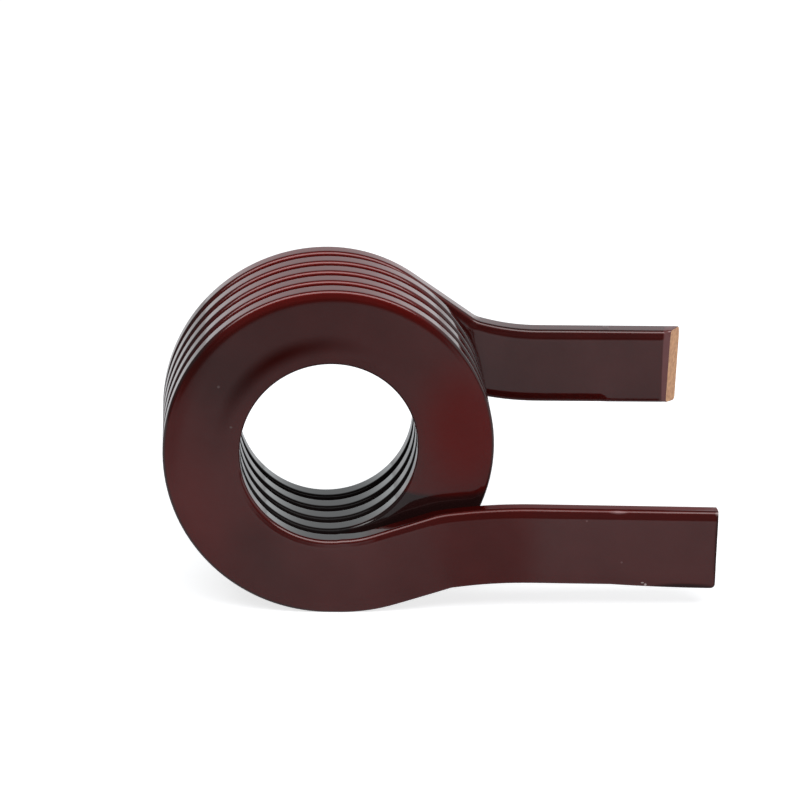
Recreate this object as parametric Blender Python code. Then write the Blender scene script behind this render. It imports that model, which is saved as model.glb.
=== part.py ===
"""Air core coil wound on edge from one length of enamelled flat copper strip.

The coil axis lies along Y and the viewer stands at -Y. Seen from there the strip comes in
from the low front lead, winds clockwise and away, and leaves by the high rear lead. Both
leads run towards +X. The origin is the middle of the base of the whole part. All sizes are
in metres and all angles in degrees.
"""
import math
from collections import namedtuple

import bmesh
import bpy

# Strip
STRIP_WIDTH = 0.0100
STRIP_THICKNESS = 0.0030
STRIP_EDGE_RADIUS = 0.0007
# Share by which the inner side of a bend of the coil's radius swells, and the outer side thins
KEYSTONE = 0.06

# Winding: it starts at the bottom in front and ends at the top behind
BORE_DIAMETER = 0.0228
TURN_GAP = 0.0016
HALF_TURNS = 9

# Front lead, from its tip to the coil; radii are those of the strip's middle line
FRONT_TAIL = 0.0240
FRONT_EASE_RADIUS = 0.0685
FRONT_EASE_ANGLE = 8.9
FRONT_SET_RADIUS = 0.0080
FRONT_SET_ANGLE = 10.1
FRONT_RAMP = 0.0075
FRONT_ENTRY_RADIUS = 0.0184
FRONT_ENTRY_ANGLE = 17.2
FRONT_ENTRY_FLAT = 0.0016
FRONT_CUT_LEAN = 1.6

# Rear lead, from the coil to its tip
REAR_EXIT_RADIUS = 0.0151
REAR_EXIT_ANGLE = 36.2
REAR_RAMP = 0.0097
REAR_SET_RADIUS = 0.0082
REAR_SET_ANGLE = 19.3
REAR_EASE_RADIUS = 0.0334
REAR_EASE_ANGLE = 15.7
REAR_TAIL = 0.0181
REAR_CUT_LEAN = 2.2
# The rear lead was sheared at a slant: its front face stops short and rolls over to the cut
REAR_CUT_SLANT = 22.0
REAR_ROLL_LENGTH = 0.0012
REAR_ROLL_DEPTH = 0.0004

# Fineness of the faceted solid
STEP_ANGLE = 9.0
EDGE_STEPS = 3
ROLL_STEPS = 3
TAIL_STEPS = 4

ENAMEL_COLOUR = (0.060, 0.016, 0.016, 1.0)
ENAMEL_ROUGHNESS = 0.18
COPPER_COLOUR = (0.560, 0.270, 0.150, 1.0)
COPPER_ROUGHNESS = 0.45

COIL_RADIUS = (BORE_DIAMETER + STRIP_WIDTH) / 2
PITCH = STRIP_THICKNESS + TURN_GAP
HELIX_SLOPE = PITCH / (2 * math.pi * COIL_RADIUS)

# One stretch of the strip's middle line, and one cross section on it. The heading is the
# direction of travel in the XZ plane, and a bend is positive where the strip turns left.
Run = namedtuple("Run", "length turn steps")
Station = namedtuple("Station", "x y z heading bend roll")


def straight(length, steps=1):
    return Run(length, 0.0, steps)


def bend(radius, degrees):
    steps = max(1, math.ceil(abs(degrees) / STEP_ANGLE))
    return Run(radius * math.radians(abs(degrees)), math.radians(degrees), steps)


def total_length(runs):
    return sum(run.length for run in runs)


def strip_runs():
    """Return the runs of the tails, the two lead bends and the winding, in their order."""
    front_tail = [straight(FRONT_TAIL, TAIL_STEPS)]
    front_bends = [
        bend(FRONT_EASE_RADIUS, FRONT_EASE_ANGLE),
        bend(FRONT_SET_RADIUS, FRONT_SET_ANGLE),
        straight(FRONT_RAMP),
        bend(FRONT_ENTRY_RADIUS, -FRONT_ENTRY_ANGLE),
        straight(FRONT_ENTRY_FLAT),
    ]
    winding = [bend(COIL_RADIUS, -180.0 * HALF_TURNS)]
    rear_bends = [
        bend(REAR_EXIT_RADIUS, -REAR_EXIT_ANGLE),
        straight(REAR_RAMP),
        bend(REAR_SET_RADIUS, REAR_SET_ANGLE),
        bend(REAR_EASE_RADIUS, REAR_EASE_ANGLE),
    ]
    rear_tail = [straight(REAR_TAIL - REAR_ROLL_LENGTH, TAIL_STEPS)]
    return front_tail, front_bends, winding, rear_bends, rear_tail


def slope_at(distance, marks):
    """Slope along Y: none in the tails, the helix's in the winding, easing in between."""
    tail_end, coil_start, coil_end, tail_start = marks
    if distance < coil_start:
        share = (distance - tail_end) / (coil_start - tail_end)
    elif distance > coil_end:
        share = (tail_start - distance) / (tail_start - coil_end)
    else:
        share = 1.0
    return HELIX_SLOPE * max(0.0, share)


def route():
    """Walk along the strip's middle line and return its stations, tip to tip."""
    front_tail, front_bends, winding, rear_bends, rear_tail = strip_runs()
    marks = [total_length(front_tail)]
    for runs in (front_bends, winding, rear_bends):
        marks.append(marks[-1] + total_length(runs))

    # The strip heads for -X where it meets the coil at the bottom
    heading = math.pi - sum(run.turn for run in front_bends)
    x = y = z = distance = 0.0
    stations = [Station(x, y, z, heading, 0.0, 0.0)]
    for run in front_tail + front_bends + winding + rear_bends + rear_tail:
        step_turn = run.turn / run.steps
        arc = run.length / run.steps
        chord = arc if run.turn == 0 else 2 * arc / step_turn * math.sin(step_turn / 2)
        for _ in range(run.steps):
            x += chord * math.cos(heading + step_turn / 2)
            z += chord * math.sin(heading + step_turn / 2)
            y += arc * (slope_at(distance, marks) + slope_at(distance + arc, marks)) / 2
            distance += arc
            heading += step_turn
            stations.append(Station(x, y, z, heading, run.turn / run.length, 0.0))
    return stations + rolled_end(stations[-1])


def rolled_end(last):
    """Return the stations where the sheared end rolls over towards the cut."""
    stations = []
    for step in range(1, ROLL_STEPS + 1):
        share = step / ROLL_STEPS
        x = last.x + share * REAR_ROLL_LENGTH * math.cos(last.heading)
        z = last.z + share * REAR_ROLL_LENGTH * math.sin(last.heading)
        roll = REAR_ROLL_DEPTH * share ** 2
        stations.append(last._replace(x=x, z=z, roll=roll))
    return stations


def strip_section(bend_rate, roll):
    """Return the rounded section as (across, through) pairs, across measured to the left.

    Bending on edge swells the inner side and thins the outer one in proportion to the
    bend. A roll takes the front face back by that depth.
    """
    half_width = STRIP_WIDTH / 2
    half_thickness = STRIP_THICKNESS / 2
    swell = KEYSTONE * bend_rate * COIL_RADIUS
    points = []
    for side, face, start in ((1, 1, 0), (-1, 1, 90), (-1, -1, 180), (1, -1, 270)):
        for step in range(EDGE_STEPS + 1):
            angle = math.radians(start + 90 * step / EDGE_STEPS)
            across = side * (half_width - STRIP_EDGE_RADIUS)
            across += STRIP_EDGE_RADIUS * math.cos(angle)
            through = face * (half_thickness - STRIP_EDGE_RADIUS)
            through += STRIP_EDGE_RADIUS * math.sin(angle)
            through *= 1 + swell * across / half_width
            if through < 0:
                through *= 1 - roll / half_thickness
            points.append((across, through))
    return points


def ring_points(station, lean=0.0, slant=0.0):
    """Return a station's section in space, pushed along the strip where the cut is oblique."""
    ahead = (math.cos(station.heading), math.sin(station.heading))
    left = (-ahead[1], ahead[0])
    points = []
    for across, through in strip_section(station.bend, station.roll):
        push = across * math.tan(math.radians(lean)) + through * math.tan(math.radians(slant))
        x = station.x + across * left[0] + push * ahead[0]
        z = station.z + across * left[1] + push * ahead[1]
        points.append((x, station.y + through, z))
    return points


def loft(rings):
    """Join the rings into one closed body, with the two cut faces on the second material."""
    mesh = bpy.data.meshes.new("flat_wire_winding")
    bm = bmesh.new()
    loops = [[bm.verts.new(point) for point in ring] for ring in rings]
    count = len(loops[0])
    for ring, following in zip(loops, loops[1:]):
        for i in range(count):
            j = (i + 1) % count
            bm.faces.new((ring[i], ring[j], following[j], following[i]))
    for ring in (loops[0], loops[-1]):
        bm.faces.new(ring).material_index = 1
    bmesh.ops.recalc_face_normals(bm, faces=bm.faces)
    bm.to_mesh(mesh)
    bm.free()
    return mesh


def stand_on_origin(mesh):
    """Move the mesh so that the middle of its base is the origin."""
    corners = [[vertex.co[axis] for vertex in mesh.vertices] for axis in range(3)]
    middle_x = (min(corners[0]) + max(corners[0])) / 2
    middle_y = (min(corners[1]) + max(corners[1])) / 2
    base = min(corners[2])
    for vertex in mesh.vertices:
        vertex.co.x -= middle_x
        vertex.co.y -= middle_y
        vertex.co.z -= base


def make_material(name, colour, roughness, metallic):
    material = bpy.data.materials.new(name)
    material.use_nodes = True
    shader = material.node_tree.nodes["Principled BSDF"]
    shader.inputs["Base Color"].default_value = colour
    shader.inputs["Roughness"].default_value = roughness
    shader.inputs["Metallic"].default_value = metallic
    material.diffuse_color = colour
    return material


def build_winding(collection):
    stations = route()
    rings = [ring_points(station) for station in stations]
    rings[0] = ring_points(stations[0], lean=-FRONT_CUT_LEAN)
    rings[-1] = ring_points(stations[-1], lean=REAR_CUT_LEAN, slant=REAR_CUT_SLANT)
    mesh = loft(rings)
    stand_on_origin(mesh)
    mesh.materials.append(make_material("enamel", ENAMEL_COLOUR, ENAMEL_ROUGHNESS, 0.0))
    mesh.materials.append(make_material("bare_copper", COPPER_COLOUR, COPPER_ROUGHNESS, 1.0))
    mesh.shade_smooth()
    mesh.set_sharp_from_angle(angle=math.radians(50))
    winding = bpy.data.objects.new("flat_wire_winding", mesh)
    collection.objects.link(winding)
    return winding


def main():
    for leftover in list(bpy.data.objects):
        bpy.data.objects.remove(leftover, do_unlink=True)
    collection = bpy.data.collections.new("air_core_coil")
    bpy.context.scene.collection.children.link(collection)
    build_winding(collection)


main()
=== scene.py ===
"""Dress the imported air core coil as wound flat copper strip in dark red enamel.

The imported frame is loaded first, and one finer strip takes the place of its winding: a rounded
section is drawn, screwed into the turns, and walked out along both leads. All sizes are in
metres, apart from the enamel's zones and marks.
"""
import math
from collections import namedtuple

import bmesh
import bpy
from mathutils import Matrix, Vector


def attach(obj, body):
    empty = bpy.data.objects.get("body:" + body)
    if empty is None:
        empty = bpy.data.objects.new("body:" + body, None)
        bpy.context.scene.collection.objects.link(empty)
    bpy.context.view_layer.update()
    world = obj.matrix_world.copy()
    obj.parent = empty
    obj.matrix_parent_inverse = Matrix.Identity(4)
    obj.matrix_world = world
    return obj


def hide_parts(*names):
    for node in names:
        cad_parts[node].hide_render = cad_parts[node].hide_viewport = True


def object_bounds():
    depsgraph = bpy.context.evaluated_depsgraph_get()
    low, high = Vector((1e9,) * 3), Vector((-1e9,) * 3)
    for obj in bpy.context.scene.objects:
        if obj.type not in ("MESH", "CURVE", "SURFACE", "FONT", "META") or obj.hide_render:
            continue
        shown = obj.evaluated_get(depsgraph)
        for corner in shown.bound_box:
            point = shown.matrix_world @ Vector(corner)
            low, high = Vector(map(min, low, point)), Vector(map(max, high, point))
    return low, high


bl_info = {
    "name": "Air Core Coil",
    "version": (1, 0, 0),
    "blender": (4, 5, 0),
    "location": "View3D > Sidebar > Coil",
    "description": "Builds an edge-wound enamelled flat strip coil and its white studio",
    "category": "Object",
}

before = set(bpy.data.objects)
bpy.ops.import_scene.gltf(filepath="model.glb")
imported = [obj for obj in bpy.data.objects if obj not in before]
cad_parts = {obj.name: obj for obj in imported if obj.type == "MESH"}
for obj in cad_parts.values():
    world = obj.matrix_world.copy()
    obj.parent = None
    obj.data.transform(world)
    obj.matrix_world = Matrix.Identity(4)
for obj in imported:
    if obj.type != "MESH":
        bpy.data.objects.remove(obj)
CAD_LOW, CAD_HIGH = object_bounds()

# Fineness of the strip's outline and of the straight tails. The outline's points are those of
# its four rounded corners and of its two faces.
CORNER_SEGMENTS = 9
FACE_COLUMNS = 28
SECTION_POINTS = 4 * CORNER_SEGMENTS + 2 * FACE_COLUMNS + 2
TAIL_STEP = 0.0005
# Most that the swelling of a bend may change from one cross section to the next
SWELL_STEP = 0.35
# Points closer than this are one, and edges steeper than this stay sharp
MERGE_DISTANCE = 0.00001
SHARP_ANGLE = math.radians(40.0)

# How much wider the strip stays in the front lead, where no bend thins it
LEAD_WIDENING = 0.0001
# The front lead is twisted a little: its top leans back, and it stands a trace higher
FRONT_TWIST = math.radians(5.0)
FRONT_LIFT = 0.00003
# Its lower edge flares towards the cut, and ends in a rounded corner that isn't a full quarter
FLARE_LENGTH = 0.0130
FLARE_DEPTH = 0.00034
FRONT_CORNER = 0.0006
CORNER_SHARE = 0.9
CORNER_STEPS = 5
# A kink in the rear lead, from the end of its bends, past which its lower edge isn't rolled
KINK_AFTER = 0.0084
KINK_LENGTH = 0.0010
KINK_STEPS = 4
# Its end rolls over in steps, and the blade drags down the points past a share of its half width
ROLL_STEPS = 6
BURR = 0.0005
BURR_FROM = 0.8
# Both cuts are chamfered, and their copper sinks inside a narrow rim
CUT_CHAMFER = 0.00006
CUT_RIM = 0.00015
CUT_SINK = 0.00003

# The floor's size, the light that it adds for the camera alone, and where it darkens in front
FLOOR_SIZE = 4.0
FLOOR_LIFT = 0.75
FLOOR_FADE = (-0.14, -0.30)
PAPER_ROUGHNESS = 0.9
# Light from the room in front, from the foot and the head of the backdrop, from the paper behind
# the coil and from the wall on the right
DARK_ROOM = 0.12
BACKDROP_FOOT = 0.95
BACKDROP_HEAD = 0.48
FLOOR_BEHIND = 0.45
RIGHT_WALL = 0.60
# Where they set in: the first three by their direction from the coil, the paper by its distance
BACKDROP_HEIGHT = (0.0, 0.32)
BACKDROP_SPREAD = (0.35, 0.85)
RIGHT_SPREAD = (0.45, 0.90)
FLOOR_BACK = (0.03, 0.15)
ROOM_WHITE = (0.94, 0.98, 1.0)
# Where the softbox hangs, and its length and depth
SOFTBOX_PLACE = Vector((0.0, -0.29, 0.42))
SOFTBOX_SIZE = (0.75, 0.32)
# The camera's sensor in millimetres, and the nearest that it sees
SENSOR_WIDTH = 36.0
CAMERA_NEAR = 0.01

# Enamel film: share of the glow from the copper beneath, and how much of it a marked place loses,
# under wear and under painted light and shade alike
FILM_GLOW = 0.85
WEAR_AND_PAINTED_LIGHT_LOSS = 0.6
FILM_ROUGHNESS = 0.52
FILM_TINT = (1.0, 0.03, 0.03)
# The clear coat over the film
COAT_ROUGHNESS = 0.07
COAT_IOR = 1.62
# The enamel's usual redness and gloss, its blotches and its orange peel
NORMAL_REDNESS = 0.42
FULL_GLOSS = 0.69
BLOTCH_SCALE = 160.0
BLOTCH_REDNESS = 0.30
BLOTCH_GLOSS = 0.20
PEEL_SCALE = 900.0
PEEL_HEIGHT = 0.000004
# Where painted shade darkens the enamel towards the bore, across the strip, and where the wound
# strip starts along it
BORE_ACROSS = (-0.0038, -0.0044)
WOUND_START = (-0.012, -0.004)
# The first turn's front corner stays red
FIRST_TURN_END = (0.1000, 0.0960)
FRONT_CORNER_THROUGH = (-0.0011, -0.0008)
# Edges of full gloss, and corners inside the bore that lose it as painted shade, without
# highlights
GLOSSY_ACROSS = (0.0045, 0.0048)
SHADED_CORNER_THROUGH = (0.00112, 0.00132)
CORNER_SHADE_LOSS = 0.9
# Painted red sheen on the corners near the top of the coil, where the softbox above lights them
SHEEN_ACROSS = (0.0033, 0.0044)
SHEEN_REDNESS = 0.60
# Painted shade on the outer edge, down the sides that the softbox above hardly lights: where it
# sets in across the strip, down the sides of the coil and along the strip, and by how much
RIM_ACROSS = (0.0044, 0.0048)
RIM_HEIGHT = (0.0418, 0.0340)
RIM_START = (-0.002, 0.004)
RIM_SHARE = 0.75
# The rear lead, where the bore's shade and the outer edge's end
REAR_LEAD_START = (0.470, 0.480)
# Above the front lead hardly any light reaches the first turn's face: the slope of that shade's
# edge across the strip, where it sets in and ends along the strip, and how strong it is
LEAD_SHADE_SLOPE = 0.457
LEAD_SHADE_IN = (0.0838, 0.0850)
LEAD_SHADE_OUT = (0.1000, 0.1030)
LEAD_SHADE_STRENGTH = 0.90

# Torn copper: the scale, detail, contrast and middle of its speckles, and how far they stand out
SPECKLE_SCALE = 1900.0
SPECKLE_DETAIL = 4.0
SPECKLE_CONTRAST = 2.6
SPECKLE_MIDDLE = 0.55
SPECKLE_HEIGHT = 0.00002
COPPER_METALLIC = 0.25
COPPER_ROUGHNESS = 0.55
# The colour sockets of a mix node come after those for numbers and vectors
MIX_FIRST, MIX_SECOND, MIX_RESULT = 6, 7, 2

# Millimetres in a metre, for the two tables
MILLIMETRES = 1000
# Zones of the enamel in millimetres along, across and through the strip: centre, reach, softness
# of the edge, how much redder, how much duller. They are partly film that lies thinner or thicker,
# partly painted reflection and shade: faces that mirror a brighter or darker part of the room are
# painted redder or browner, glossier or duller
FILM_AND_PAINTED_LIGHT_ZONES = (
    ((47.6, 0.0, -1.5), (32.0, 12.0, 5.0), 0.8, -0.16, 0.31),
    ((36.0, 1.5, -1.5), (14.0, 8.0, 5.0), 0.8, -0.15, 0.0),
    # Painted shade: a dark crescent above the bore, where the face dishes away from the light
    ((43.7, -2.25, -1.5), (17.0, 1.9, 4.0), 1.0, -0.16, 1.0),
    ((75.5, 1.5, -1.5), (12.0, 9.0, 5.0), 0.8, 0.42, 0.52),
    ((86.0, 0.0, -1.5), (8.0, 8.0, 5.0), 0.8, 0.20, 0.0),
    ((22.5, 3.5, -1.5), (17.0, 6.5, 5.0), 0.8, 0.20, 0.0),
    ((31.0, 4.1, -1.5), (10.0, 2.3, 5.0), 0.8, 0.0, 0.35),
    ((10.0, 1.0, -1.5), (8.0, 8.0, 5.0), 0.8, -0.12, 0.0),
    ((1.0, 0.0, -1.5), (12.0, 12.0, 5.0), 0.7, 0.0, -0.20),
    ((-20.5, 0.0, -1.5), (9.0, 12.0, 5.0), 0.6, 0.0, 0.36),
    ((-41.0, 0.0, -1.5), (17.0, 16.0, 5.0), 0.3, 0.0, -0.18),
    # Painted shade: the front lead's top is painted duller and redder, for the dark coil it
    # mirrors
    ((-34.0, -5.0, 0.4), (24.0, 0.8, 1.7), 0.4, 0.15, 0.75),
    # Painted shade on the front tip's cut end and lower edge; the near-black marks below go with
    # it
    ((-50.6, 0.0, -1.5), (0.6, 9.0, 1.6), 0.5, 0.0, 0.6),
    ((-46.5, 5.0, -1.6), (5.5, 0.8, 1.6), 0.5, 0.0, 0.6),
    ((491.4, 0.0, 0.0), (32.0, 16.0, 6.0), 0.2, -0.08, -0.17),
    ((496.4, 5.0, 0.5), (25.0, 0.8, 3.0), 0.5, -0.30, 0.45),
)
# Marks in the enamel, with painted light and shade, in the same terms: centre, reach, softness,
# colour, how strong. Chips and specks are the enamel's own; the painted ones are noted where they
# stand
ENAMEL_MARKS_AND_PAINTED_LIGHT = (
    # Painted light: a lighter purplish band where the rolled-over end of the rear lead turns to
    # the light
    ((514.4, 0.0, -1.5), (1.75, 20.0, 3.0), 0.12, (0.190, 0.066, 0.066), 0.80),
    ((-33.5, -3.7, -1.6), (0.22, 0.20, 1.0), 0.6, (0.30, 0.15, 0.15), 0.40),
    ((-38.2, 1.7, -1.6), (0.20, 0.18, 1.0), 0.6, (0.25, 0.14, 0.14), 0.35),
    ((30.5, -3.35, -1.6), (0.24, 0.24, 1.0), 0.6, (0.20, 0.17, 0.16), 0.35),
    ((35.2, 0.3, -1.6), (0.24, 0.24, 1.0), 0.6, (0.20, 0.15, 0.15), 0.35),
    ((-41.4, 4.7, -1.5), (0.22, 0.32, 0.8), 0.5, (0.60, 0.50, 0.48), 0.95),
    ((-41.0, 4.4, -1.5), (0.30, 0.14, 0.8), 0.5, (0.60, 0.50, 0.48), 0.7),
    # Painted shade: near black along the front tip's cut end and lower edge, which face away from
    # light
    ((-50.6, 0.0, -1.5), (0.55, 9.0, 1.4), 0.5, (0.012, 0.009, 0.009), 0.7),
    ((-46.5, 5.0, -1.6), (5.5, 0.75, 1.4), 0.5, (0.012, 0.009, 0.009), 0.8),
    ((-37.6, -4.9, -1.2), (1.6, 0.35, 0.5), 0.8, (0.35, 0.20, 0.20), 0.7),
    # A burr on the front tip's top corner, partly a painted highlight where its edge catches the
    # light
    ((-50.5, -4.9, -1.2), (0.5, 0.45, 1.0), 0.8, (0.40, 0.32, 0.31), 0.6),
)

# One cross section of the strip: distance along it, its middle, and its direction of travel in
# the XZ plane, anticlockwise from +X as seen from the front
Ring = namedtuple("Ring", "along centre heading")

# Stretches of the leads, seen from the coil: length, turn to the left in degrees, steps
FRONT_STRETCHES = (
    (0.00160, 0.0, 2),
    (0.00552, 17.2, 8),
    (0.00750, 0.0, 6),
    (0.00141, -10.1, 6),
    (0.01064, -8.9, 10),
)
REAR_STRETCHES = (
    (0.00954, -36.2, 14),
    (0.00970, 0.0, 8),
    (0.00276, 19.3, 8),
    (0.00915, 15.7, 10),
)


class StripSettings(bpy.types.PropertyGroup):
    """Sizes of the flat strip and of the coil that is wound from it"""

    width: bpy.props.FloatProperty(
        name="Strip Width", description="Width of the strip, across the radius of the coil",
        default=0.0099, min=0.002, unit="LENGTH")
    thickness: bpy.props.FloatProperty(
        name="Strip Thickness", description="Thickness of the strip, along the coil's axis",
        default=0.00315, min=0.0005, unit="LENGTH")
    corner: bpy.props.FloatProperty(
        name="Corner Radius", description="Radius of the long corners",
        default=0.00055, min=0.0001, unit="LENGTH")
    outer_roll: bpy.props.FloatProperty(
        name="Outer Roll", description="How far in from the outer edge the faces start to fall",
        default=0.0016, min=0.0001, unit="LENGTH")
    inner_roll: bpy.props.FloatProperty(
        name="Inner Roll", description="How far in from the inner edge the faces start to fall",
        default=0.0014, min=0.0001, unit="LENGTH")
    roll_slope: bpy.props.FloatProperty(
        name="Roll Slope", description="Steepest fall of the faces, where they meet the corners",
        default=0.24, min=0.0, max=1.0)
    keystone: bpy.props.FloatProperty(
        name="Keystone", description="Share by which winding swells the inner edge of the strip",
        default=0.03, min=0.0, max=0.3)
    bore: bpy.props.FloatProperty(
        name="Bore", description="Diameter of the open middle of the coil",
        default=0.0230, min=0.005, unit="LENGTH")
    gap: bpy.props.FloatProperty(
        name="Turn Gap", description="Air between one turn and the next",
        default=0.00145, min=0.0, unit="LENGTH")
    entry: bpy.props.FloatProperty(
        name="Entry", description="Where the strip's middle enters the first turn, along Y",
        default=-0.010422, unit="LENGTH")
    half_turns: bpy.props.IntProperty(
        name="Half Turns", description="Half turns between the two leads", default=9, min=1)
    turn_step: bpy.props.FloatProperty(
        name="Turn Step", description="Angle between two cross sections of the winding",
        default=math.radians(2.5), min=0.01, subtype="ANGLE")


class LeadSettings(bpy.types.PropertyGroup):
    """Sizes of the two leads and of their cut ends"""

    front_tail: bpy.props.FloatProperty(
        name="Front Tail", description="Straight end of the front lead",
        default=0.0238, min=0.001, unit="LENGTH")
    front_lean: bpy.props.FloatProperty(
        name="Front Cut Lean", description="Lean of the front lead's cut away from square",
        default=math.radians(-0.8), subtype="ANGLE")
    rear_tail: bpy.props.FloatProperty(
        name="Rear Tail", description="Straight end of the rear lead",
        default=0.0179, min=0.001, unit="LENGTH")
    rear_lean: bpy.props.FloatProperty(
        name="Rear Cut Lean", description="Lean of the rear lead's cut away from square",
        default=math.radians(-1.9), subtype="ANGLE")
    rear_slant: bpy.props.FloatProperty(
        name="Rear Cut Slant", description="Slant of the rear lead's cut through its thickness",
        default=math.radians(28.0), subtype="ANGLE")
    roll_length: bpy.props.FloatProperty(
        name="Roll Length", description="Length over which the sheared end rolls over",
        default=0.0013, min=0.0001, unit="LENGTH")
    roll_depth: bpy.props.FloatProperty(
        name="Roll Depth", description="Depth to which the sheared end's front face sinks",
        default=0.00035, min=0.0, unit="LENGTH")


class FinishSettings(bpy.types.PropertyGroup):
    """Colours of the enamel and of the bare copper"""

    # Ends of the enamel's colour; the mix between them is partly the film's own, partly painted
    # light
    brown: bpy.props.FloatVectorProperty(
        name="Enamel Brown", description="Enamel where it lies thick",
        default=(0.036, 0.007, 0.006), size=3, subtype="COLOR", min=0.0, max=1.0)
    red: bpy.props.FloatVectorProperty(
        name="Enamel Red", description="Enamel where it lies thin over the copper",
        default=(0.150, 0.007, 0.005), size=3, subtype="COLOR", min=0.0, max=1.0)
    shade: bpy.props.FloatVectorProperty(
        name="Enamel Shade", description="Enamel where little light reaches it",
        default=(0.010, 0.007, 0.007), size=3, subtype="COLOR", min=0.0, max=1.0)
    copper: bpy.props.FloatVectorProperty(
        name="Cut Copper", description="Bright copper on the cut ends",
        default=(0.880, 0.500, 0.260), size=3, subtype="COLOR", min=0.0, max=1.0)
    copper_shade: bpy.props.FloatVectorProperty(
        name="Torn Copper", description="Darker specks of the torn copper",
        default=(0.620, 0.290, 0.160), size=3, subtype="COLOR", min=0.0, max=1.0)


class StageSettings(bpy.types.PropertyGroup):
    """Camera, paper and softbox"""

    lens: bpy.props.FloatProperty(
        name="Lens", description="Focal length on a 36 mm sensor", default=219.4, min=10.0)
    azimuth: bpy.props.FloatProperty(
        name="Azimuth", description="Camera's turn around the coil",
        default=math.radians(-2.4), subtype="ANGLE")
    elevation: bpy.props.FloatProperty(
        name="Elevation", description="Camera's height above the horizon",
        default=math.radians(17.5), subtype="ANGLE")
    distance: bpy.props.FloatProperty(
        name="Distance", description="From the camera to the point it aims at",
        default=0.625, min=0.05, unit="LENGTH")
    aim: bpy.props.FloatVectorProperty(
        name="Aim", description="Point that the camera looks at",
        default=(-0.00527, -0.01016, 0.02829), size=3, unit="LENGTH", subtype="XYZ")
    paper: bpy.props.FloatVectorProperty(
        name="Paper", description="Paper under the coil",
        default=(0.66, 0.67, 0.69), size=3, subtype="COLOR", min=0.0, max=1.0)
    far_paper: bpy.props.FloatVectorProperty(
        name="Far Paper", description="Paper far in front of the coil",
        default=(0.10, 0.10, 0.10), size=3, subtype="COLOR", min=0.0, max=1.0)
    overhead_power: bpy.props.FloatProperty(
        name="Overhead Power", description="Power of the softbox above", default=2.6, min=0.0)


def settings():
    scene = bpy.context.scene
    return scene.coil_strip, scene.coil_leads, scene.coil_finish, scene.coil_stage


def coil_axis(strip):
    """Return the middle of the first turn's start, seen along the coil's axis."""
    outer = strip.bore / 2 + strip.width
    return Vector((CAD_LOW.x + outer, strip.entry, CAD_LOW.z + outer))


def coil_radius(strip):
    return (strip.bore + strip.width) / 2


def pitch(strip):
    return strip.thickness + strip.gap


def left_of(ring):
    """Unit vector to the left of the direction of travel, as seen from the front."""
    return Vector((-math.sin(ring.heading), 0.0, math.cos(ring.heading)))


def total_length(stretches):
    return sum(length for length, _, _ in stretches)


def deselect_all():
    if bpy.context.object and bpy.context.object.mode != "OBJECT":
        bpy.ops.object.mode_set(mode="OBJECT")
    bpy.ops.object.select_all(action="DESELECT")


def make_active(piece):
    deselect_all()
    piece.select_set(True)
    bpy.context.view_layer.objects.active = piece


def draw_section(strip):
    """Draw the strip's rounded outline at the foot of the coil, with its origin on the axis.

    Its faces fall away towards both edges. Its inner edge is swollen and its outer edge thinned,
    as winding on edge leaves them.
    """
    axis = coil_axis(strip)
    deselect_all()
    bpy.ops.mesh.primitive_plane_add(size=1.0, location=axis)
    section = bpy.context.object
    bpy.ops.object.mode_set(mode="EDIT")
    bpy.ops.transform.rotate(value=math.pi / 2, orient_axis="Y", center_override=axis)
    bpy.ops.transform.resize(value=(1.0, strip.thickness, strip.width), center_override=axis)
    bpy.ops.transform.translate(value=(0.0, 0.0, -coil_radius(strip)))
    bpy.ops.mesh.bevel(
        offset=strip.corner, segments=CORNER_SEGMENTS, profile=0.5, affect="VERTICES")
    bpy.ops.mesh.delete(type="ONLY_FACE")
    cut_long_edges(section, strip.width / 2, FACE_COLUMNS - 1)
    bpy.ops.object.mode_set(mode="OBJECT")
    for vertex in section.data.vertices:
        across = -coil_radius(strip) - vertex.co.z
        vertex.co.y *= 1 - face_fall(strip, across) / (strip.thickness / 2)
        vertex.co.y *= 1 - strip.keystone * across / (strip.width / 2)
    return section


def face_fall(strip, across):
    """How far a face has fallen at a place across the strip, positive towards its outer edge."""
    reach = (strip.outer_roll if across > 0 else strip.inner_roll) - strip.corner
    inside = strip.width / 2 - strip.corner - abs(across)
    share = min(1.0, max(0.0, 1 - inside / reach))
    return strip.roll_slope * reach / 2 * share ** 2


def cut_long_edges(section, shortest, cuts):
    bpy.ops.mesh.select_mode(type="EDGE")
    mesh = bmesh.from_edit_mesh(section.data)
    for edge in mesh.edges:
        edge.select = edge.calc_length() > shortest
    mesh.select_flush_mode()
    bmesh.update_edit_mesh(section.data)
    bpy.ops.mesh.subdivide(number_cuts=cuts)
    bpy.ops.mesh.select_mode(type="VERT")


def copy_of(piece, name):
    make_active(piece)
    bpy.ops.object.duplicate()
    copy = bpy.context.object
    copy.name = name
    return copy


def wind_turns(section, strip):
    """Screw the outline around the axis of the coil."""
    turns = copy_of(section, "turns")
    angle = math.pi * strip.half_turns
    steps = round(angle / strip.turn_step)
    bpy.ops.object.modifier_add(type="SCREW")
    screw = turns.modifiers[-1]
    screw.axis = "Y"
    screw.angle = angle
    screw.screw_offset = pitch(strip) * strip.half_turns / 2
    screw.steps = screw.render_steps = steps
    screw.use_merge_vertices = False
    bpy.ops.object.modifier_apply(modifier=screw.name)

    rings = []
    for step in range(steps + 1):
        phi = angle * step / steps
        centre = Vector((-math.sin(phi), 0.0, -math.cos(phi))) * coil_radius(strip)
        centre.y = pitch(strip) * phi / (2 * math.pi)
        rings.append(Ring(coil_radius(strip) * phi, centre, math.pi - phi))
    mark_strip(turns, rings)
    return turns


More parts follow.
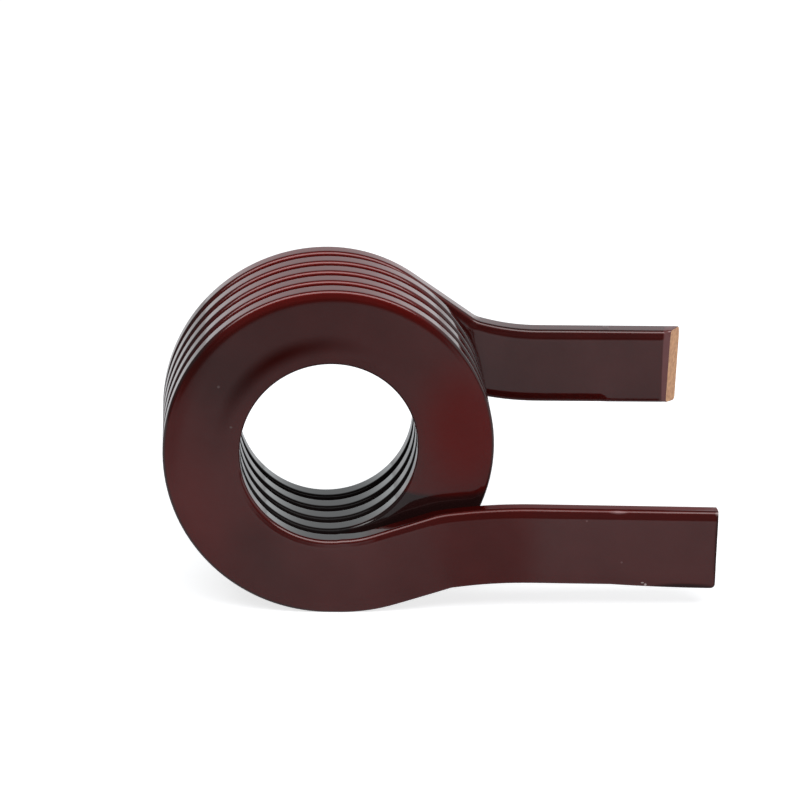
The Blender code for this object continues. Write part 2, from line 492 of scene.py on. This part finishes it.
def mark_strip(piece, rings):
    """Store each vertex's place on the unwound strip: along, across to the left and through."""
    places = piece.data.attributes.new("strip_place", "FLOAT_VECTOR", "POINT")
    for index, vertex in enumerate(piece.data.vertices):
        ring = rings[min(index // SECTION_POINTS, len(rings) - 1)]
        offset = vertex.co - ring.centre
        places.data[index].vector = (ring.along, offset.dot(left_of(ring)), offset.y)


class LeadWalker:
    """Walks the open outline of a lead away from the coil, one extrusion after another."""

    def __init__(self, lead, strip, start, away, fade):
        self.lead = lead
        self.strip = strip
        self.away = away
        self.fade = fade
        self.slope = pitch(strip) / (2 * math.pi * coil_radius(strip))
        self.travelled = 0.0
        self.swell = -away
        self.rings = [start]
        make_active(lead)
        bpy.ops.object.mode_set(mode="EDIT")
        bpy.ops.mesh.select_all(action="SELECT")

    def step(self, arc, turn):
        """Extrude one step, turning on edge; the slope along Y fades out over the bends."""
        ring = self.rings[-1]
        course = ring.heading + turn / 2
        middle = self.travelled + arc / 2
        rise = self.away * self.slope * arc * max(0.0, 1 - middle / self.fade)
        move = Vector((arc * math.cos(course), rise, arc * math.sin(course)))
        bpy.ops.mesh.extrude_region_move(TRANSFORM_OT_translate={"value": move})
        self.travelled += arc
        along = self.rings[0].along + self.away * self.travelled
        self.rings.append(Ring(along, ring.centre + move, ring.heading + turn))
        self.turn_outline(turn)
        self.ease_swell(turn / arc * coil_radius(self.strip))

    def stretch(self, length, degrees, steps):
        for _ in range(steps):
            self.step(length / steps, math.radians(degrees) / steps)

    def middle(self):
        return self.lead.matrix_world @ self.rings[-1].centre

    def turn_outline(self, angle, axis="Y"):
        """Turn the open outline about its middle, anticlockwise as seen against the axis."""
        if angle:
            bpy.ops.transform.rotate(
                value=angle, orient_axis=axis, center_override=self.middle())

    def stretch_outline(self, factor, pivot):
        """Scale the open outline's height about a height given from its middle."""
        bpy.ops.transform.resize(
            value=(1.0, 1.0, factor), center_override=self.middle() + Vector((0.0, 0.0, pivot)))

    def open_points(self):
        """Give each point of the open outline to be moved, and update the mesh at the end."""
        mesh = bmesh.from_edit_mesh(self.lead.data)
        for vertex in mesh.verts:
            if vertex.select:
                yield vertex.co
        bmesh.update_edit_mesh(self.lead.data)

    def ease_swell(self, wanted):
        """Move the swelling of the bend's inner edge towards the wanted share of the coil's."""
        before = self.swell
        self.swell += max(-SWELL_STEP, min(SWELL_STEP, wanted - before))
        ring = self.rings[-1]
        unit = self.strip.keystone / (self.strip.width / 2)
        for point in self.open_points():
            offset = point - ring.centre
            across = offset.dot(left_of(ring))
            ratio = (1 + unit * self.swell * across) / (1 + unit * before * across)
            point.y = ring.centre.y + offset.y * ratio

    def fill_lower_edge(self, before, share):
        """Take back a share of the faces' fall towards the lower edge."""
        ring = self.rings[-1]
        half = self.strip.thickness / 2
        for point in self.open_points():
            across = (point - ring.centre).dot(left_of(ring))
            if across < 0:
                fall = face_fall(self.strip, across)
                ratio = (half - fall * (1 - share)) / (half - fall * (1 - before))
                point.y = ring.centre.y + (point.y - ring.centre.y) * ratio

    def sink_front(self, ratio):
        """Press the front half of the open outline back towards its middle."""
        centre = self.rings[-1].centre
        for point in self.open_points():
            if point.y < centre.y:
                point.y = centre.y + (point.y - centre.y) * ratio

    def slant(self, angle):
        """Shear the open outline to this angle from a square cut, its front edge lagging."""
        ring = self.rings[-1]
        for point in self.open_points():
            square = ring.centre.x - math.tan(ring.heading) * (point.z - ring.centre.z)
            point.x = square + math.tan(angle) * (point.y - ring.centre.y)

    def drag_down(self, depth):
        """Pull the lower edge down, most of all at the back."""
        centre = self.rings[-1].centre
        half_width, half = self.strip.width / 2, self.strip.thickness / 2
        for point in self.open_points():
            if centre.z - point.z > half_width * BURR_FROM:
                share = 0.5 + (point.y - centre.y) / half / 2
                point.z -= depth * min(1.0, max(0.0, share))

    def close(self):
        """Chamfer the open end, cap it with bare copper and mark the strip."""
        bpy.ops.mesh.edge_face_add()
        bpy.ops.mesh.inset(thickness=CUT_CHAMFER, depth=CUT_CHAMFER)
        self.lead.active_material_index = 1
        bpy.ops.object.material_slot_assign()
        bpy.ops.mesh.inset(thickness=CUT_RIM, depth=-CUT_SINK)
        bpy.ops.object.mode_set(mode="OBJECT")
        forward = 0.0 if self.away > 0 else math.pi
        mark_strip(self.lead, [r._replace(heading=r.heading + forward) for r in self.rings])


def make_front_lead(section, strip, leads):
    """Lead the strip from the foot of the coil out to the low right."""
    lead = copy_of(section, "front_lead")
    start = Ring(0.0, Vector((0.0, 0.0, -coil_radius(strip))), 0.0)
    walker = LeadWalker(lead, strip, start, -1, total_length(FRONT_STRETCHES))
    walker.stretch(*FRONT_STRETCHES[0])
    walker.stretch_outline(1 + LEAD_WIDENING / strip.width, -strip.width / 2)
    twist_steps = sum(steps for _, _, steps in FRONT_STRETCHES[1:])
    for length, degrees, steps in FRONT_STRETCHES[1:]:
        for _ in range(steps):
            walker.stretch(length / steps, degrees / steps, 1)
            walker.turn_outline(FRONT_TWIST / twist_steps, axis="X")
            bpy.ops.transform.translate(value=(0.0, 0.0, FRONT_LIFT / twist_steps))
    straight = leads.front_tail - FRONT_CORNER - FLARE_LENGTH
    walker.stretch(straight, 0.0, round(straight / TAIL_STEP))
    shape_lower_edge(walker, strip.width, flared_tip())
    walker.turn_outline(leads.front_lean)
    walker.close()
    return lead


def flared_tip():
    """Return the tip's lower edge as lengths and rises: a slow flare, then a rounded corner."""
    profile = []
    flare_steps = round(FLARE_LENGTH / TAIL_STEP)
    for number in range(1, flare_steps + 1):
        share = number / flare_steps
        profile.append((FLARE_LENGTH / flare_steps, -FLARE_DEPTH * share * (2 - share)))
    for number in range(1, CORNER_STEPS + 1):
        angle, previous = (math.pi / 2 * n / CORNER_STEPS for n in (number, number - 1))
        length = FRONT_CORNER * (math.sin(angle) - math.sin(previous))
        rise = FRONT_CORNER * (1 - math.cos(angle)) * CORNER_SHARE
        profile.append((length, rise - FLARE_DEPTH))
    return profile


def shape_lower_edge(walker, width, profile):
    """Walk on while the lower edge rises and falls and the upper one runs straight."""
    before = 0.0
    for length, rise in profile:
        walker.step(length, 0.0)
        walker.stretch_outline((width - rise) / (width - before), width / 2)
        before = rise


def make_rear_lead(section, strip, leads):
    """Lead the strip from the top of the coil out to the right, to its slanted cut."""
    lead = copy_of(section, "rear_lead")
    angle = math.pi * strip.half_turns
    depth = pitch(strip) * strip.half_turns / 2
    make_active(lead)
    bpy.ops.object.mode_set(mode="EDIT")
    bpy.ops.mesh.select_all(action="SELECT")
    bpy.ops.transform.rotate(
        value=math.pi, orient_axis="Y", center_override=lead.matrix_world.translation)
    bpy.ops.transform.translate(value=(0.0, depth, 0.0))
    bpy.ops.object.mode_set(mode="OBJECT")
    start = Ring(coil_radius(strip) * angle, Vector((0.0, depth, coil_radius(strip))), 0.0)
    walker = LeadWalker(lead, strip, start, 1, total_length(REAR_STRETCHES))
    for stretch in REAR_STRETCHES:
        walker.stretch(*stretch)
    walker.stretch(KINK_AFTER, 0.0, round(KINK_AFTER / TAIL_STEP))
    for number in range(1, KINK_STEPS + 1):
        walker.step(KINK_LENGTH / KINK_STEPS, 0.0)
        walker.fill_lower_edge((number - 1) / KINK_STEPS, number / KINK_STEPS)
    straight = leads.rear_tail - leads.roll_length - KINK_AFTER - KINK_LENGTH
    walker.stretch(straight, 0.0, round(straight / TAIL_STEP))
    roll_over(walker, strip, leads)
    walker.turn_outline(leads.rear_lean)
    walker.close()
    return lead


def roll_over(walker, strip, leads):
    """Fan the end out into the slanted cut, its front face sinking and its lower edge dragged."""
    sunk = 1.0
    for number in range(1, ROLL_STEPS + 1):
        walker.step(leads.roll_length / ROLL_STEPS, 0.0)
        wanted = 1 - leads.roll_depth * number / ROLL_STEPS / (strip.thickness / 2)
        walker.sink_front(wanted / sunk)
        sunk = wanted
        walker.slant(leads.rear_slant * number / ROLL_STEPS)
        walker.drag_down(BURR * (2 * number - 1) / ROLL_STEPS ** 2)


def join_strip(turns, front, rear):
    """Join the three lengths into one closed strip, standing at the origin of the frame."""
    make_active(turns)
    front.select_set(True)
    rear.select_set(True)
    bpy.ops.object.join()
    strip_piece = bpy.context.object
    strip_piece.name = strip_piece.data.name = "enamelled_strip"
    bpy.ops.object.mode_set(mode="EDIT")
    bpy.ops.mesh.select_all(action="SELECT")
    bpy.ops.mesh.remove_doubles(threshold=MERGE_DISTANCE)
    bpy.ops.mesh.normals_make_consistent(inside=False)
    bpy.ops.object.mode_set(mode="OBJECT")
    bpy.ops.object.transform_apply(location=True, rotation=True, scale=True)
    bpy.ops.object.shade_smooth_by_angle(angle=SHARP_ANGLE)
    bpy.ops.object.modifier_add(type="WEIGHTED_NORMAL")
    weighted = strip_piece.modifiers[-1]
    weighted.keep_sharp = True
    bpy.ops.object.modifier_apply(modifier=weighted.name)
    return strip_piece


def new_material(name):
    material = bpy.data.materials.new(name)
    material.use_nodes = True
    return material, material.node_tree, material.node_tree.nodes["Principled BSDF"]


def feed(tree, socket, value):
    """Link an output to a socket, or set the socket to a plain value."""
    if isinstance(value, bpy.types.NodeSocket):
        tree.links.new(value, socket)
    else:
        socket.default_value = value


def feed_all(tree, node, values):
    """Feed several of a node's inputs, each given by its name."""
    for name, value in values.items():
        feed(tree, node.inputs[name], value)


def maths(tree, operation, *values, clamp=False):
    node = tree.nodes.new("ShaderNodeMath")
    node.operation = operation
    node.use_clamp = clamp
    for socket, value in zip(node.inputs, values):
        feed(tree, socket, value)
    return node.outputs[0]


def product(tree, first, *others):
    for other in others:
        first = maths(tree, "MULTIPLY", first, other)
    return first


def inverse(tree, mask):
    return maths(tree, "SUBTRACT", 1.0, mask)


def vector_maths(tree, operation, *values):
    node = tree.nodes.new("ShaderNodeVectorMath")
    node.operation = operation
    for socket, value in zip(node.inputs, values):
        feed(tree, socket, value)
    return node.outputs["Value" if operation == "LENGTH" else "Vector"]


def smooth_range(tree, value, start, end, low=0.0, high=1.0):
    node = tree.nodes.new("ShaderNodeMapRange")
    node.interpolation_type = "SMOOTHSTEP"
    feed_all(tree, node, {
        "Value": value,
        "From Min": start,
        "From Max": end,
        "To Min": low,
        "To Max": high,
    })
    return node.outputs["Result"]


def opaque(colour):
    return (*colour, 1.0)


def mix_colours(tree, share, first, second):
    node = tree.nodes.new("ShaderNodeMix")
    node.data_type = "RGBA"
    feed(tree, node.inputs["Factor"], share)
    feed(tree, node.inputs[MIX_FIRST], first)
    feed(tree, node.inputs[MIX_SECOND], second)
    return node.outputs[MIX_RESULT]


def bumped(tree, height, distance):
    """Return the surface's normals as the heights bend them."""
    node = tree.nodes.new("ShaderNodeBump")
    feed_all(tree, node, {"Height": height, "Distance": distance})
    return node.outputs["Normal"]


def strip_place(tree):
    """Return the place on the unwound strip: along, across and through."""
    node = tree.nodes.new("ShaderNodeAttribute")
    node.attribute_name = "strip_place"
    return node.outputs["Vector"]


def object_place(tree):
    return tree.nodes.new("ShaderNodeTexCoord").outputs["Object"]


def split(tree, vector):
    node = tree.nodes.new("ShaderNodeSeparateXYZ")
    tree.links.new(vector, node.inputs[0])
    return node.outputs


def new_group(name, inputs, output):
    """Start a shared node group, and return its tree and the values that are given to it."""
    group = bpy.data.node_groups.new(name, "ShaderNodeTree")
    for title, kind in inputs:
        group.interface.new_socket(
            name=title, in_out="INPUT", socket_type="NodeSocket" + kind)
    group.interface.new_socket(name=output, in_out="OUTPUT", socket_type="NodeSocketFloat")
    return group, group.nodes.new("NodeGroupInput").outputs


def give_out(group, value):
    """Put out the group's one value, and return the group."""
    group.links.new(value, group.nodes.new("NodeGroupOutput").inputs[0])
    return group


def place_group(tree, group, values):
    """Place a shared node group with its own values, and return what it puts out."""
    node = tree.nodes.new("ShaderNodeGroup")
    node.node_tree = group
    feed_all(tree, node, values)
    return node.outputs[0]


def soft_spot_group():
    """Return the shared mask of one soft-edged spot around a place on the strip."""
    group = bpy.data.node_groups.get("soft_spot")
    if group:
        return group
    inputs = (("Place", "Vector"), ("Centre", "Vector"), ("Reach", "Vector"), ("Edge", "Float"))
    group, given = new_group("soft_spot", inputs, "Mask")
    offset = vector_maths(group, "SUBTRACT", given["Place"], given["Centre"])
    distance = vector_maths(group, "LENGTH", vector_maths(group, "DIVIDE", offset, given["Reach"]))
    return give_out(
        group, smooth_range(group, distance, inverse(group, given["Edge"]), 1.0, 1.0, 0.0))


def soft_spot(tree, place, centre, reach, edge):
    """Place a soft spot; its centre and reach are given in millimetres."""
    return place_group(tree, soft_spot_group(), {
        "Place": place,
        "Centre": Vector(centre) / MILLIMETRES,
        "Reach": Vector(reach) / MILLIMETRES,
        "Edge": edge,
    })


def grain_group():
    """Return the shared unevenness that the enamel and the copper both carry."""
    group = bpy.data.node_groups.get("grain")
    if group:
        return group
    inputs = (("Place", "Vector"), ("Scale", "Float"), ("Detail", "Float"))
    group, given = new_group("grain", inputs, "Value")
    texture = group.nodes.new("ShaderNodeTexNoise")
    feed_all(group, texture, {
        "Vector": given["Place"],
        "Scale": given["Scale"],
        "Detail": given["Detail"],
    })
    return give_out(group, maths(group, "SUBTRACT", texture.outputs["Fac"], 0.5))


def grain(tree, place, scale, detail=2.0):
    """Place the shared unevenness: noise around zero, a little over half either way."""
    return place_group(tree, grain_group(), {"Place": place, "Scale": scale, "Detail": detail})


def film_and_painted_light_zones(tree, strip_at, place):
    """Return how red and glossy the enamel is, from its blotches and its zones of film and painted
    light.
    """
    blotches = grain(tree, place, BLOTCH_SCALE)
    redness = maths(tree, "MULTIPLY_ADD", blotches, BLOTCH_REDNESS, NORMAL_REDNESS)
    gloss = maths(tree, "MULTIPLY_ADD", blotches, BLOTCH_GLOSS, FULL_GLOSS)
    # Each zone paints the film redder or browner and its coat duller, partly as painted reflection
    for centre, reach, edge, redder, duller in FILM_AND_PAINTED_LIGHT_ZONES:
        zone = soft_spot(tree, strip_at, centre, reach, edge)
        redness = maths(tree, "MULTIPLY_ADD", zone, redder, redness)
        gloss = product(tree, gloss, maths(tree, "MULTIPLY_ADD", zone, -duller, 1.0))
    return redness, gloss


def enamel_shade(tree, strip_at, wound, low):
    """Return the painted shade in the bore, and all of it, with the sides and above the lead.

    The mask wound is 1 past the front lead, and low is 1 below the top of the coil.
    """
    along, across, through = split(tree, strip_at)
    inner = smooth_range(tree, across, *BORE_ACROSS)
    first_turn = smooth_range(tree, along, *FIRST_TURN_END)
    behind_front = smooth_range(tree, through, *FRONT_CORNER_THROUGH)
    hidden = maths(tree, "MAXIMUM", behind_front, inverse(tree, first_turn))
    before_rear = smooth_range(tree, along, *REAR_LEAD_START, 1.0, 0.0)
    bore = product(tree, inner, wound, hidden, before_rear)
    outer = smooth_range(tree, across, *RIM_ACROSS)
    past_start = smooth_range(tree, along, *RIM_START)
    rim = product(tree, outer, low, RIM_SHARE, past_start, before_rear)
    oblique = maths(tree, "MULTIPLY_ADD", across, LEAD_SHADE_SLOPE, along)
    above_lead = product(
        tree, smooth_range(tree, oblique, *LEAD_SHADE_IN),
        smooth_range(tree, oblique, *LEAD_SHADE_OUT, LEAD_SHADE_STRENGTH, 0.0),
        inverse(tree, behind_front))
    return bore, maths(tree, "MAXIMUM", maths(tree, "MAXIMUM", bore, rim), above_lead)


def lay_marks_and_painted_light(tree, strip_at, colour):
    """Lay the marks, painted light and shade over a colour; return it with how far the film is
    marked.
    """
    wear_and_painted_light = 0.0
    for centre, reach, edge, tint, strength in ENAMEL_MARKS_AND_PAINTED_LIGHT:
        mark = product(tree, soft_spot(tree, strip_at, centre, reach, edge), strength)
        colour = mix_colours(tree, mark, colour, opaque(tint))
        wear_and_painted_light = maths(tree, "MAXIMUM", mark, wear_and_painted_light)
    return colour, wear_and_painted_light


def enamel_material(finish):
    """Dark red enamel: a clear coat over a red film that lets the copper glow through.

    The zones say where the film is painted redder or browner and where its gloss dulls, partly for
    thinner or thicker film and partly as painted reflection and shade.
    """
    material, tree, shader = new_material("enamel")
    strip_at, place = strip_place(tree), object_place(tree)
    along, across, through = split(tree, strip_at)
    off_centre = maths(tree, "ABSOLUTE", across)
    wound = smooth_range(tree, along, *WOUND_START)
    low = smooth_range(tree, split(tree, place)["Z"], *RIM_HEIGHT)

    redness, gloss = film_and_painted_light_zones(tree, strip_at, place)
    # Painted sheen: the corners near the top are painted redder, for the softbox's light on them
    reddened = product(tree, smooth_range(tree, off_centre, *SHEEN_ACROSS), inverse(tree, low))
    redness = maths(tree, "MULTIPLY_ADD", reddened, SHEEN_REDNESS, redness, clamp=True)
    colour = mix_colours(tree, redness, opaque(finish.brown), opaque(finish.red))
    # Painted shade: the bore, the lower sides and the face above the front lead take the shade
    # colour
    bore, shaded = enamel_shade(tree, strip_at, wound, low)
    colour = mix_colours(tree, shaded, colour, opaque(finish.shade))
    # Chips and specks of wear, with painted shade and highlight at the front tip and painted light
    # at the rear end
    colour, wear_and_painted_light = lay_marks_and_painted_light(tree, strip_at, colour)

    edge = smooth_range(tree, off_centre, *GLOSSY_ACROSS)
    gloss = maths(tree, "MAXIMUM", gloss, product(tree, edge, wound))
    # Painted shade: the corners inside the bore lose their coat, and so their highlights
    corner = smooth_range(tree, maths(tree, "ABSOLUTE", through), *SHADED_CORNER_THROUGH)
    painted_corner_shade = product(tree, corner, bore, -CORNER_SHADE_LOSS)
    gloss = product(tree, gloss, maths(tree, "ADD", painted_corner_shade, 1.0))
    # The copper's glow is lessened under marks and painted light, and taken away where shade is
    # painted
    metal = maths(tree, "MULTIPLY_ADD", wear_and_painted_light, -FILM_GLOW * WEAR_AND_PAINTED_LIGHT_LOSS, FILM_GLOW)
    metal = product(tree, metal, inverse(tree, shaded))

    normal = bumped(tree, grain(tree, place, PEEL_SCALE), PEEL_HEIGHT)
    feed_all(tree, shader, {
        "Base Color": colour,
        "Metallic": metal,
        "Roughness": FILM_ROUGHNESS,
        "Specular IOR Level": 0.0,
        "Specular Tint": opaque(FILM_TINT),
        "Coat Weight": gloss,
        "Coat Roughness": COAT_ROUGHNESS,
        "Coat IOR": COAT_IOR,
        "Normal": normal,
        "Coat Normal": normal,
    })
    return material


def copper_material(finish):
    """Sheared copper, bright and speckled where the blade dragged through it."""
    material, tree, shader = new_material("cut_copper")
    speckle = grain(tree, object_place(tree), SPECKLE_SCALE, SPECKLE_DETAIL)
    bright = maths(tree, "MULTIPLY_ADD", speckle, SPECKLE_CONTRAST, SPECKLE_MIDDLE, clamp=True)
    feed_all(tree, shader, {
        "Base Color": mix_colours(
            tree, bright, opaque(finish.copper_shade), opaque(finish.copper)),
        "Metallic": COPPER_METALLIC,
        "Roughness": COPPER_ROUGHNESS,
        "Normal": bumped(tree, speckle, SPECKLE_HEIGHT),
    })
    return material


class COIL_OT_strip(bpy.types.Operator):
    """Build the enamelled strip with its turns, leads and cut ends"""

    bl_idname = "coil.strip"
    bl_label = "Enamelled Strip"

    def execute(self, context):
        strip, leads, finish, _ = settings()
        section = draw_section(strip)
        if len(section.data.vertices) != SECTION_POINTS:
            raise RuntimeError(f"the outline has {len(section.data.vertices)} points")
        section.data.materials.append(enamel_material(finish))
        section.data.materials.append(copper_material(finish))
        turns = wind_turns(section, strip)
        front = make_front_lead(section, strip, leads)
        rear = make_rear_lead(section, strip, leads)
        bpy.data.objects.remove(section)
        piece = join_strip(turns, front, rear)
        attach(piece, "root")
        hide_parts("flat_wire_winding")
        return {"FINISHED"}


class COIL_OT_stage(bpy.types.Operator):
    """Set up the pale floor, the studio light and the camera"""

    bl_idname = "coil.stage"
    bl_label = "Stage"

    def execute(self, context):
        stage = settings()[3]
        make_floor(stage)
        light_world()
        hang_softbox(stage)
        place_camera(stage)
        context.scene.view_settings.view_transform = "Standard"
        return {"FINISHED"}


class COIL_PT_panel(bpy.types.Panel):
    """Lists the settings and builders of the coil"""

    bl_idname = "COIL_PT_panel"
    bl_label = "Air Core Coil"
    bl_space_type = "VIEW_3D"
    bl_region_type = "UI"
    bl_category = "Coil"

    def draw(self, context):
        for group in settings():
            # The first two properties are every group's own type and name
            for name in group.bl_rna.properties.keys()[2:]:
                self.layout.prop(group, name)
        for operator in (COIL_OT_strip, COIL_OT_stage):
            self.layout.operator(operator.bl_idname)


def make_floor(stage):
    """Lay pale paper that darkens far in front of the coil, where the light falls off.

    Behind the coil it also glows with the backdrop's light. To the camera it is white all over,
    apart from the coil's shadow.
    """
    deselect_all()
    bpy.ops.mesh.primitive_plane_add(size=FLOOR_SIZE, location=(0.0, 0.0, 0.0))
    floor = bpy.context.object
    floor.name = "floor"
    material, tree, shader = new_material("floor_paper")
    distance = split(tree, object_place(tree))["Y"]
    far = smooth_range(tree, distance, *FLOOR_FADE)
    lift = maths(tree, "MULTIPLY_ADD", far, 1 - FLOOR_LIFT, FLOOR_LIFT)
    behind = smooth_range(tree, distance, *FLOOR_BACK, 0.0, FLOOR_BEHIND)
    path = tree.nodes.new("ShaderNodeLightPath")
    seen = product(tree, path.outputs["Is Camera Ray"], maths(tree, "SUBTRACT", lift, behind))
    feed_all(tree, shader, {
        "Base Color": mix_colours(tree, far, opaque(stage.paper), opaque(stage.far_paper)),
        "Roughness": PAPER_ROUGHNESS,
        "Specular IOR Level": 0.0,
        "Emission Color": (1.0, 1.0, 1.0, 1.0),
        "Emission Strength": maths(tree, "ADD", seen, behind),
    })
    floor.data.materials.append(material)


def light_world():
    """White to the camera; to the coil, a dark room with a bright backdrop and a pale wall.

    The backdrop stands behind the coil and is brightest at its foot. The wall is on the right.
    """
    world = bpy.data.worlds.new("studio")
    bpy.context.scene.world = world
    world.use_nodes = True
    tree = world.node_tree
    x, y, z = split(tree, tree.nodes.new("ShaderNodeTexCoord").outputs["Generated"])
    backdrop = smooth_range(tree, z, *BACKDROP_HEIGHT, BACKDROP_FOOT, BACKDROP_HEAD)
    spread = smooth_range(tree, y, *BACKDROP_SPREAD)
    behind = maths(tree, "MULTIPLY_ADD", spread, backdrop, DARK_ROOM)
    right = smooth_range(tree, x, *RIGHT_SPREAD, 0.0, RIGHT_WALL)
    path = tree.nodes.new("ShaderNodeLightPath")
    strength = tree.nodes.new("ShaderNodeMix")
    feed_all(tree, strength, {
        "Factor": path.outputs["Is Camera Ray"],
        "A": maths(tree, "ADD", behind, right),
        "B": 1.0,
    })
    feed_all(tree, tree.nodes["Background"], {
        "Color": opaque(ROOM_WHITE),
        "Strength": strength.outputs["Result"],
    })


def hang_softbox(stage):
    """Hang one long softbox across the coil, above it and a little in front."""
    deselect_all()
    bpy.ops.object.light_add(type="AREA", location=SOFTBOX_PLACE)
    lamp = bpy.context.object
    lamp.name = "overhead_softbox"
    lamp.rotation_mode = "QUATERNION"
    lamp.rotation_quaternion = (-SOFTBOX_PLACE).to_track_quat("-Z", "Y")
    lamp.data.shape = "RECTANGLE"
    lamp.data.size, lamp.data.size_y = SOFTBOX_SIZE
    lamp.data.energy = stage.overhead_power


def place_camera(stage):
    azimuth, elevation = stage.azimuth, stage.elevation
    back = Vector((
        math.sin(azimuth) * math.cos(elevation),
        -math.cos(azimuth) * math.cos(elevation),
        math.sin(elevation),
    ))
    deselect_all()
    bpy.ops.object.camera_add(location=Vector(stage.aim) + back * stage.distance)
    camera = bpy.context.object
    camera.rotation_mode = "QUATERNION"
    camera.rotation_quaternion = (-back).to_track_quat("-Z", "Y")
    camera.data.lens = stage.lens
    camera.data.sensor_width = SENSOR_WIDTH
    camera.data.clip_start = CAMERA_NEAR
    bpy.context.scene.camera = camera


CLASSES = (
    StripSettings,
    LeadSettings,
    FinishSettings,
    StageSettings,
    COIL_OT_strip,
    COIL_OT_stage,
    COIL_PT_panel,
)


def register():
    for kind in CLASSES:
        bpy.utils.register_class(kind)
    bpy.types.Scene.coil_strip = bpy.props.PointerProperty(type=StripSettings)
    bpy.types.Scene.coil_leads = bpy.props.PointerProperty(type=LeadSettings)
    bpy.types.Scene.coil_finish = bpy.props.PointerProperty(type=FinishSettings)
    bpy.types.Scene.coil_stage = bpy.props.PointerProperty(type=StageSettings)


def unregister():
    for name in ("coil_stage", "coil_finish", "coil_leads", "coil_strip"):
        delattr(bpy.types.Scene, name)
    for kind in reversed(CLASSES):
        bpy.utils.unregister_class(kind)


def main():
    register()
    bpy.ops.coil.strip()
    bpy.ops.coil.stage()


if __name__ == "__main__":
    main()
